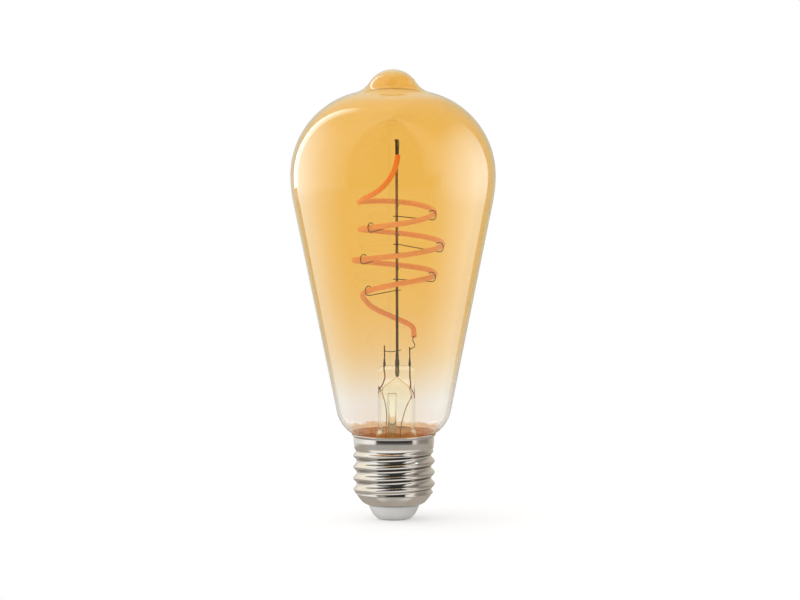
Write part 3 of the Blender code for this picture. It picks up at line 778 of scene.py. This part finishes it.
def make_mast_jumper():
    """Joins the left lead to the mast, which feeds the filament's top end."""
    height = 0.0536
    aside = -(MAST_RADIUS + HOOK_WIRE * 0.6)
    points = [
        (LEAD_LEFT_X - 0.0001, -0.00012, height + 0.0001),
        (LEAD_LEFT_X + 0.0006, -0.00025, height + 0.00002),
        (-0.0004, aside * 1.2, height - 0.0001),
        (MAST_X, aside, height + 0.0002),
        (MAST_X + 0.0012, aside, height + 0.0004),
    ]
    made = bend_wire(points, HOOK_WIRE, 1)
    made = join_onto(made, [add_blob((LEAD_LEFT_X, -0.0001, height + 0.0001), 0.00026)])
    finish_piece(made, "mast_jumper", hook_metal, "mast_jumper_wire")


# ------------------------------------------------------------ filament


def filament_place(station):
    """Cartesian point of a (turn angle, radius, height) station round the mast."""
    angle, radius, height = station
    turn = math.radians(angle)
    return Vector((MAST_X + radius * math.cos(turn), radius * math.sin(turn), height))


def station_at(angle):
    """The filament's station at a turn angle."""
    path = smooth_path(FILAMENT_STATIONS, 8)
    for high, low in zip(path, path[1:]):
        if high[0] >= angle >= low[0]:
            share = (high[0] - angle) / (high[0] - low[0])
            return tuple(a + (b - a) * share for a, b in zip(high, low))
    raise ValueError("the angle is past the filament's ends")


def make_filament():
    """The coated strip, with rounded ends, and how far along and how far inward each point lies."""
    path = [filament_place(s) for s in smooth_path(FILAMENT_STATIONS, 14)]
    made = bend_wire(path, FILAMENT_RADIUS * 1.06, 5, 1)
    bpy.ops.object.mode_set(mode="EDIT")
    bpy.ops.mesh.select_all(action="SELECT")
    bpy.ops.mesh.remove_doubles(threshold=1e-7)
    bpy.ops.mesh.normals_make_consistent(inside=False)
    bpy.ops.object.mode_set(mode="OBJECT")
    lengths = [0.0]
    for before, after in zip(path, path[1:]):
        lengths.append(lengths[-1] + (after - before).length)
    along = made.data.attributes.new("along", "FLOAT", "POINT")
    inward = made.data.attributes.new("inward", "FLOAT", "POINT")
    for i, corner in enumerate(made.data.vertices):
        near = min(range(len(path)), key=lambda k: (path[k] - corner.co).length_squared)
        ahead = path[min(near + 1, len(path) - 1)] - path[max(near - 1, 0)]
        along.data[i].value = lengths[near] + (corner.co - path[near]).dot(ahead.normalized())
        home = Vector((MAST_X, 0, path[near].z)) - path[near]
        inward.data[i].value = (corner.co - path[near]).normalized().dot(home.normalized())
    finish_piece(made, "filament", phosphor, "filament_cord", 60)
    return path


def make_terminals(path):
    top = path[0]
    points = [
        (top.x, top.y, top.z - 0.0004),
        (MAST_X + 0.0006, -0.0007, 0.1172),
        (MAST_X + 0.00062, 0.0, 0.1184),
        (MAST_X + 0.0007, 0.0, 0.1196),
        (MAST_X + 0.00066, 0.0, 0.1203),
    ]
    made = bend_wire(points, HOOK_WIRE * 1.15, 2)
    made = join_onto(made, [add_blob((MAST_X + 0.00045, -0.0001, 0.1180), 0.00028, (1, 1, 1.8))])
    finish_piece(made, "top_terminal", lead_metal, "filament_top_terminal")
    end = path[-1]
    points = [
        (end.x, end.y, end.z + 0.0003),
        (end.x - 0.0004, end.y - 0.0004, 0.0569),
        (end.x + 0.0001, end.y - 0.0010, 0.0558),
        (end.x + 0.0002, end.y - 0.0016, 0.0550),
        (LEAD_RIGHT_X + 0.0005, -0.0002, 0.0544),
        (LEAD_RIGHT_X - 0.0001, -0.0001, 0.0540),
    ]
    made = bend_wire(points, HOOK_WIRE, 2)
    made = join_onto(made, [add_blob((LEAD_RIGHT_X + 0.00005, -0.00015, 0.0541), 0.00026)])
    finish_piece(made, "bottom_terminal", hook_metal, "filament_bottom_terminal")


def make_hook(name, angle, weld_height):
    """One support wire: a stub past the mast, an arm out to the filament, and a C loop round it."""
    station = station_at(angle)
    turn = math.radians(angle)
    out = Vector((math.cos(turn), math.sin(turn), 0))
    up = Vector((0, 0, 1))
    centre = filament_place(station)
    aside = Vector((out.y, -out.x, 0)) * (MAST_RADIUS + HOOK_WIRE * 0.6)
    if name.startswith("left"):
        aside = -aside
    mast = Vector((MAST_X, 0, 0))
    weld = mast + aside + up * weld_height
    points = [weld - out * 0.0011, weld, weld + out * 0.0006]
    first = centre + out * (HOOK_HALF_WIDTH * math.cos(math.radians(-100)))
    first += up * (HOOK_HALF_HEIGHT * math.sin(math.radians(-100)))
    points.append(points[-1].lerp(first, 0.5))
    for degrees in range(-100, 141, 24):
        bend = math.radians(degrees)
        points.append(centre + out * (HOOK_HALF_WIDTH * math.cos(bend)) + up * (HOOK_HALF_HEIGHT * math.sin(bend)))
    made = bend_wire(points, HOOK_WIRE, 2, 3)
    made = join_onto(made, [add_blob(weld - aside * 0.15, 0.00023)])
    finish_piece(made, f"hook_{name}", hook_metal, f"filament_hook_{name}")


# ------------------------------------------------------------ cap


def thread_radius(height, turn):
    """Outer radius of the rolled right-hand thread, which fades out at both its ends."""
    fade = 0.0012
    share = min(max((THREAD_TOP - height) / fade, 0.0), max((height - THREAD_BOTTOM) / fade, 0.0), 1.0)
    wave = 0.5 + 0.5 * math.cos(math.tau * (height - CREST_HEIGHT) / CAP_PITCH - turn + math.pi)
    return ROOT_RADIUS + (CREST_RADIUS - ROOT_RADIUS) * (wave**CREST_SHARPNESS * share + 0.4 * (1 - share))


def make_shell():
    """The thin screw shell: turned plain, rolled to its thread, then given its sheet thickness."""
    outline = [(0.01318, 0.0273), (0.01333, 0.02724), (0.0134, 0.02710), (0.01338, 0.02695), (0.01320, 0.02672)]
    outline += [(0.01300, 0.02662), (0.01283, 0.0265), (0.0128, 0.0264), (0.0128, 0.0262), (0.0128, 0.0249)]
    outline += [(0.01278, 0.0246)]
    outline += [(0.01274, 0.0240), (0.01268, 0.0234), (0.01262, 0.0229)]
    rows = 112
    for i in range(rows + 1):
        outline.append((ROOT_RADIUS, THREAD_TOP + (THREAD_BOTTOM - THREAD_TOP) * i / rows))
    foot = [(0.0119, 0.0080), (0.0113, 0.0071), (0.0106, 0.0062), (0.0097, 0.0053), (0.0083, 0.0046)]
    outline += smooth_path(foot, 4)
    made = turn_outline(outline, 128)
    for corner in made.data.vertices:
        height = corner.co.z
        if THREAD_BOTTOM - 1e-6 <= height <= THREAD_TOP + 1e-6:
            turn = math.atan2(corner.co.y, corner.co.x)
            radius = thread_radius(height, turn)
            corner.co.x = radius * math.cos(turn)
            corner.co.y = radius * math.sin(turn)
    sheet = made.modifiers.new("sheet", "SOLIDIFY")
    sheet.thickness = CAP_SHEET
    sheet.offset = -1.0
    bpy.ops.object.modifier_apply(modifier="sheet")
    finish_piece(made, "screw_cap", nickel, "screw_shell", 60)


def make_cement():
    """The cement between neck and shell, with an uneven top."""
    outline = [(0.01236, 0.0234), (0.01236, 0.0262), (0.01262, 0.0266), (0.01262, 0.0269), (0.0123, 0.02705)]
    outline += [(0.01205, 0.0270), (0.0118, 0.0266), (0.01145, 0.0262), (0.01108, 0.0254), (0.01108, 0.0228)]
    outline += [(0.0076, 0.0228), (0.0074, 0.0225), (0.0076, 0.0222), (0.0120, 0.0222), (0.01236, 0.0226)]
    made = turn_outline(outline, 96, closed=True)
    for corner in made.data.vertices:
        if corner.co.z > 0.02665:
            turn = math.atan2(corner.co.y, corner.co.x)
            corner.co.z += 0.00010 * math.sin(7 * turn) + 0.00007 * math.sin(17 * turn + 1)
    finish_piece(made, "cement", cement, "capping_cement", 40)


def make_insulator():
    """The stepped white disc that carries the contact."""
    outline = [
        (0.0012, 0.0066), (0.0084, 0.0066), (0.0089, 0.0064), (0.0090, 0.0061), (0.0089, 0.0058), (0.0082, 0.0055),
        (0.0080, 0.0052), (0.00795, 0.0045), (0.0078, 0.0038), (0.0074, 0.0030), (0.0070, 0.0022), (0.0066, 0.0015),
        (0.0060, 0.0009), (0.0055, 0.0005), (0.0052, 0.0003), (0.0049, 0.0003), (0.0048, 0.0004), (0.0048, 0.0012),
        (0.0012, 0.0012),
    ]
    made = turn_outline(outline, 96, closed=True)
    finish_piece(made, "insulator", white_plastic, "cap_insulator", 40)


def make_contact():
    """The nail-shaped centre contact, with a faint ring struck in its head."""
    outline = [
        (0.0, 0.0076), (0.0009, 0.0076), (0.0009, 0.0009), (0.0045, 0.0009), (0.0046, 0.0008), (0.0046, 0.0004),
        (0.0044, 0.0001), (0.0042, 0.0), (0.0034, 0.0), (0.0032, 0.00012), (0.0030, 0.0), (0.0, 0.0),
    ]
    made = turn_outline(outline, 64)
    finish_piece(made, "contact", contact_finish, "centre_contact", 30)


glass = make_envelope()
make_stem()
make_exhaust_tube()
make_mast()
make_leads()
make_mast_jumper()
filament_path = make_filament()
make_terminals(filament_path)
for hook in HOOKS:
    make_hook(*hook)
make_shell()
make_cement()
make_insulator()
make_contact()

NODE_FINISHES = {
    "board_liner": film,
    "driver_board": laminate,
    "radio_board": laminate,
    "bulk_capacitor": can_metal,
    "radio_shield_can": can_metal,
    "radio_crystal": can_metal,
    "filter_inductor": moulded_black,
    "bridge_rectifier": moulded_black,
    "driver_chip": moulded_black,
    "sense_resistor": moulded_black,
    "ceramic_capacitor": tan_ceramic,
    "fusible_resistor": tan_ceramic,
    "radio_antenna": copper,
    "live_wire": copper,
    "neutral_wire": blue_sleeve,
}
for node_name, finish in NODE_FINISHES.items():
    nodes[node_name].data.materials.clear()
    nodes[node_name].data.materials.append(finish)


# ------------------------------------------------------------ studio


def make_floor():
    """A small, very pale floor that glows a little, so that it melts into the backdrop."""
    clear_selection()
    bpy.ops.mesh.primitive_circle_add(vertices=96, radius=0.20, fill_type="NGON", location=(0, 0, -0.00002))
    floor = bpy.context.object
    floor.name = "floor"
    made = Finish("floor_white", Roughness=0.9)
    made.colour(made.ramp(made.noise(30.0), [(0.3, (0.78, 0.78, 0.78)), (0.7, (0.80, 0.80, 0.80))]))
    made.shader.inputs["Emission Color"].default_value = (1, 1, 1, 1)
    made.shader.inputs["Emission Strength"].default_value = FLOOR_GLOW
    made.shader.inputs["Specular IOR Level"].default_value = 0.0
    floor.data.materials.append(made.material)
    floor.visible_glossy = False
    floor.visible_diffuse = False


# Brightness of what the lamp reflects at its own level, by bearing from the front; + is to the right
LEVEL_LIGHT = [
    (-180, 0.80), (-158, 0.74), (-140, 0.80), (-124, 0.77), (-103, 0.86), (-94, 0.96),
    (-79, 1.02), (-58, 0.98), (-53, 0.60), (-50, 0.09), (-30, 0.05), (40, 0.04), (54, 0.07),
    (57, 0.70), (64, 0.85), (72, 0.42), (82, 0.27),
    (110, 0.27), (126, 0.42), (145, 0.52), (165, 0.62), (180, 0.80),
]
# The same for what it reflects from above
HIGH_LIGHT = [
    (-180, 0.80), (-158, 0.74), (-140, 0.80), (-124, 0.77), (-103, 0.86), (-79, 1.02),
    (-58, 0.98), (-53, 0.40), (-45, 0.24), (-39, 0.33), (-30, 0.22), (-24, 0.08), (-16, 0.035),
    (34, 0.035), (40, 0.70), (52, 0.90), (64, 0.85),
    (72, 0.42), (82, 0.27), (110, 0.27), (126, 0.42), (145, 0.52), (165, 0.62), (180, 0.80),
]


class Tree:
    """Short names for adding and joining nodes."""

    def __init__(self, tree):
        self.tree = tree
        tree.nodes.clear()

    def node(self, kind, **settings):
        made = self.tree.nodes.new(kind)
        for setting, value in settings.items():
            setattr(made, setting, value)
        return made

    def feed(self, socket, value):
        if isinstance(value, bpy.types.NodeSocket):
            self.tree.links.new(value, socket)
        else:
            socket.default_value = value

    def math(self, operation, *values):
        made = self.node("ShaderNodeMath", operation=operation)
        for socket, value in zip(made.inputs, values):
            self.feed(socket, value)
        return made.outputs["Value"]

    def mix(self, share, first, second):
        made = self.node("ShaderNodeMix", data_type="RGBA")
        for socket, value in ((made.inputs[0], share), (made.inputs[6], first), (made.inputs[7], second)):
            self.feed(socket, value)
        return made.outputs[2]

    def spread(self, source, low, high, new_low=0.0, new_high=1.0):
        made = self.node("ShaderNodeMapRange", interpolation_type="SMOOTHSTEP")
        for socket, value in zip(made.inputs[1:5], (low, high, new_low, new_high)):
            socket.default_value = value
        self.feed(made.inputs["Value"], source)
        return made.outputs["Result"]

    def ramp(self, source, stops):
        made = self.node("ShaderNodeValToRGB")
        elements = made.color_ramp.elements
        while len(elements) < len(stops):
            elements.new(1.0)
        for element, (place, colour) in zip(elements, stops):
            element.position = place
            element.color = (*colour, 1.0)
        self.feed(made.inputs["Fac"], source)
        return made.outputs["Color"]


def make_world():
    """White where it is seen directly, greyer through glass, banded where reflected, darker on later bounces."""
    world = bpy.data.worlds.new("studio")
    bpy.context.scene.world = world
    world.use_nodes = True
    sky = Tree(world.node_tree)
    split = sky.node("ShaderNodeSeparateXYZ")
    sky.feed(split.inputs["Vector"], sky.node("ShaderNodeTexCoord").outputs["Generated"])
    right, ahead, up = split.outputs
    bearing = sky.math("ARCTAN2", right, sky.math("MULTIPLY", ahead, -1.0))
    share = sky.math("ADD", sky.math("DIVIDE", bearing, math.tau), 0.5)
    bands = []
    for levels in (LEVEL_LIGHT, HIGH_LIGHT):
        stops = []
        for degrees_round, level in levels:
            green, blue = (0.90, 0.80) if 60 < degrees_round < 140 else (0.985, 0.97)
            if abs(degrees_round) > 142:
                green, blue = (0.92, 0.78) if degrees_round > 0 else (0.95, 0.88)
            stops.append((degrees_round / 360 + 0.5, (level, level * green, level * blue)))
        bands.append(sky.ramp(share, stops))
    band = sky.mix(sky.spread(up, 0.0, 0.12), *bands)
    overhead = sky.ramp(share, [
        (0.0, (1, 1, 1)), (0.20, (1, 1, 1)), (0.27, (0, 0, 0)), (0.95, (0, 0, 0)), (1.0, (1, 1, 1)),
    ])
    overhead = sky.math("MULTIPLY", overhead, sky.spread(up, 0.2, 0.4))
    lower = sky.ramp(sky.math("MULTIPLY", up, -1.0), [
        (0.20, (0.42, 0.40, 0.375)), (0.42, (0.44, 0.42, 0.39)), (0.60, (0.98, 0.95, 0.91)),
        (0.85, (0.98, 0.95, 0.91)), (0.97, (0.44, 0.41, 0.37)), (1.0, (0.42, 0.39, 0.35)),
    ])
    seen = sky.mix(overhead, band, (1.0, 0.93, 0.78, 1.0))
    lower = sky.mix(sky.spread(ahead, -0.20, 0.10), lower, (0.42, 0.38, 0.33, 1.0))
    seen = sky.mix(sky.spread(up, -0.135, -0.20), seen, lower)
    fill = sky.mix(sky.spread(right, -0.9, 0.9), (1.35, 1.35, 1.35, 1.0), (0.80, 0.79, 0.77, 1.0))
    fill = sky.mix(sky.spread(up, -0.1, -0.9), fill, (0.40, 0.385, 0.36, 1.0))
    path = sky.node("ShaderNodeLightPath")
    again = sky.math("GREATER_THAN", path.outputs["Glossy Depth"], 1.5)
    seen = sky.mix(again, seen, sky.mix(0.65, seen, (0.03, 0.03, 0.03, 1.0)))
    inside_glass = sky.math("GREATER_THAN", path.outputs["Transmission Depth"], 0.5)
    seen = sky.mix(inside_glass, seen, (0.85, 0.85, 0.85, 1.0))
    plain = sky.mix(sky.math("GREATER_THAN", path.outputs["Diffuse Depth"], 0.5), (1.0, 1.0, 1.0, 1.0), fill)
    light = sky.mix(sky.math("GREATER_THAN", path.outputs["Glossy Depth"], 0.5), plain, seen)
    glow = sky.node("ShaderNodeBackground")
    sky.feed(glow.inputs["Color"], light)
    sky.feed(sky.node("ShaderNodeOutputWorld").inputs["Surface"], glow.outputs["Background"])


def add_softbox(name, bearing, low, high, half_width, levels, foot_share):
    """A soft box beside the lamp that only its glass reflects; levels give its brightness across."""
    clear_selection()
    turn = math.radians(bearing)
    place = (SOFTBOX_REACH * math.sin(turn), -SOFTBOX_REACH * math.cos(turn), (low + high) / 2)
    bpy.ops.object.light_add(type="AREA", location=place)
    box = bpy.context.object
    box.name = name
    box.data.shape = "RECTANGLE"
    box.data.size = half_width * 2
    box.data.size_y = high - low
    box.data.energy = math.pi * box.data.size * box.data.size_y
    box.rotation_euler = (math.pi / 2, 0, turn)
    box.visible_camera = False
    box.visible_transmission = False
    box.visible_diffuse = False
    box.data.use_nodes = True
    lamp = Tree(box.data.node_tree)
    split = lamp.node("ShaderNodeSeparateXYZ")
    lamp.feed(split.inputs["Vector"], lamp.node("ShaderNodeNewGeometry").outputs["Parametric"])
    stops = []
    for degrees_round, level in levels:
        place = 0.5 + SOFTBOX_REACH * math.tan(math.radians(degrees_round - bearing)) / (2 * half_width)
        stops.append((place, (level * 0.55, level * 0.85, level)))
    across = lamp.ramp(split.outputs["X"], stops)
    start = (-0.16 - low) / (high - low)
    full = (0.08 - low) / (high - low)
    rise = lamp.spread(split.outputs["Y"], start, full, foot_share, 1.0)
    rise = lamp.math("MULTIPLY", rise, lamp.spread(split.outputs["Y"], 1.0, 0.45))
    emit = lamp.node("ShaderNodeEmission")
    lamp.feed(emit.inputs["Color"], across)
    lamp.feed(emit.inputs["Strength"], rise)
    lamp.feed(lamp.node("ShaderNodeOutputLight").inputs["Surface"], emit.outputs["Emission"])
    box.light_linking.receiver_collection = glass_only


CAMERA_TILT = math.radians(5.0)
CAMERA_DISTANCE = 2.0
CAMERA_AIM = Vector((0.00209, 0.0, 0.0698))


def make_camera():
    """A long lens, tilted a little down at the middle of the lamp."""
    clear_selection()
    back = Vector((0, -math.cos(CAMERA_TILT), math.sin(CAMERA_TILT)))
    bpy.ops.object.camera_add(location=CAMERA_AIM + back * CAMERA_DISTANCE)
    camera = bpy.context.object
    camera.data.sensor_width = 36.0
    camera.data.lens = 284.0
    camera.data.clip_start = 0.05
    camera.data.clip_end = 50.0
    camera.data.dof.use_dof = False
    turn = (-back).to_track_quat("-Z", "Y").to_matrix()
    roll = math.radians(-0.17)
    camera.rotation_euler = turn.to_euler()
    camera.rotation_euler.rotate_axis("Z", roll)
    bpy.context.scene.camera = camera


make_floor()
make_world()
glass_only = bpy.data.collections.new("glass_only")
glass_only.objects.link(glass)
add_softbox("left_softbox", -90, -0.40, 0.70, 0.48, [
    (-133, 2.7), (-120, 3.4), (-106, 3.6), (-90, 2.7), (-76, 1.6), (-60, 0.15), (-52, 0.0),
], 0.35)
add_softbox("right_softbox", 85, -0.40, 0.70, 0.48, [
    (40, 0.0), (48, 0.6), (60, 2.2), (76, 4.8), (95, 5.6), (105, 5.6), (117, 4.0), (131, 2.7),
], 0.33)
add_softbox("edge_light", -137, 0.055, 1.00, 0.060, [
    (-144.5, 4.0), (-140, 4.0), (-134, 2.2), (-129.5, 0.0),
], 1.0)
make_camera()
bpy.context.scene.view_settings.view_transform = "Standard"
bpy.context.scene.view_settings.look = "None"

bpy.context.view_layer.update()
